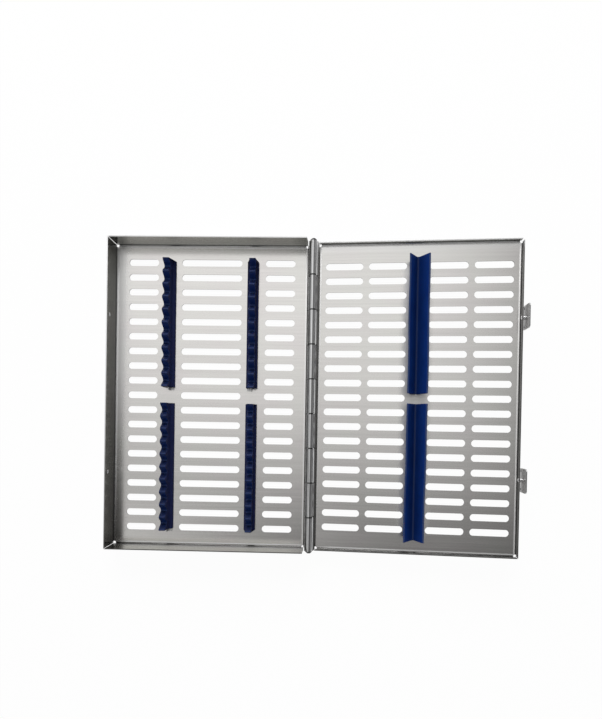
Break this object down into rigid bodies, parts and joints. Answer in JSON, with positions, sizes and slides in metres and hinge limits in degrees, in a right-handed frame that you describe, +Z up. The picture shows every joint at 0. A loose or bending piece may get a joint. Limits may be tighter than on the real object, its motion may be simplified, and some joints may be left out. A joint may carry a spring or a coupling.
{
  "type": "dental instrument cassette",
  "caption": "Perforated folded-sheet instrument cassette: base and lid on a piano hinge, silicone instrument rails, silicone hold-down bars and turning latches.",
  "frame": {"origin": "centre of the base tray's underside, on the surface that it stands on", "axes": "+Z up, +Y along the hinge towards the rear end, +X from the base towards the hinge and the open lid"},
  "size_m": [0.3788, 0.2866, 0.0369],
  "materials": {
    "brushed_sheet": "satin brushed",
    "hinge_steel": "satin",
    "latch_steel": "satin",
    "bracket_steel": "satin",
    "rivet_steel": "polished",
    "rail_silicone": "satin silicone",
    "bar_silicone": "satin silicone"
  },
  "bodies": {
    "base": {"base_tray": "brushed_sheet", "hinge_leaf_base": "hinge_steel", "hinge_pin": "hinge_steel", "catch_stud_rear": "rivet_steel", "catch_stud_front": "rivet_steel", "rail_bracket_rear_left": "bracket_steel", "rail_bracket_rear_right": "bracket_steel", "rail_bracket_front_left": "bracket_steel", "rail_bracket_front_right": "bracket_steel", "instrument_rail_rear_left": "rail_silicone", "instrument_rail_rear_right": "rail_silicone", "instrument_rail_front_left": "rail_silicone", "instrument_rail_front_right": "rail_silicone"},
    "lid": {"lid_panel": "brushed_sheet", "hinge_leaf_lid": "hinge_steel", "latch_rivet_rear": "rivet_steel", "latch_rivet_front": "rivet_steel", "holddown_bracket_rear": "bracket_steel", "holddown_bracket_front": "bracket_steel", "holddown_bar_rear": "bar_silicone", "holddown_bar_front": "bar_silicone"},
    "latch_rear": {"latch_plate_rear": "latch_steel"},
    "latch_front": {"latch_plate_front": "latch_steel"}
  },
  "joints": [
    {"name": "lid_hinge", "type": "hinge", "parent": "base", "child": "lid", "pos_m": [0.0956, 0, 0.0175], "axis": [0, -1, 0], "range_deg": [0, 175.5]},
    {"name": "latch_turn_rear", "type": "hinge", "parent": "lid", "child": "latch_rear", "pos_m": [0.28266, 0.07225, 0.0234], "axis": [0.9969, 0, 0.0785], "range_deg": [-90, 90]},
    {"name": "latch_turn_front", "type": "hinge", "parent": "lid", "child": "latch_front", "pos_m": [0.28266, -0.07225, 0.0234], "axis": [0.9969, 0, 0.0785], "range_deg": [-90, 90]}
  ]
}
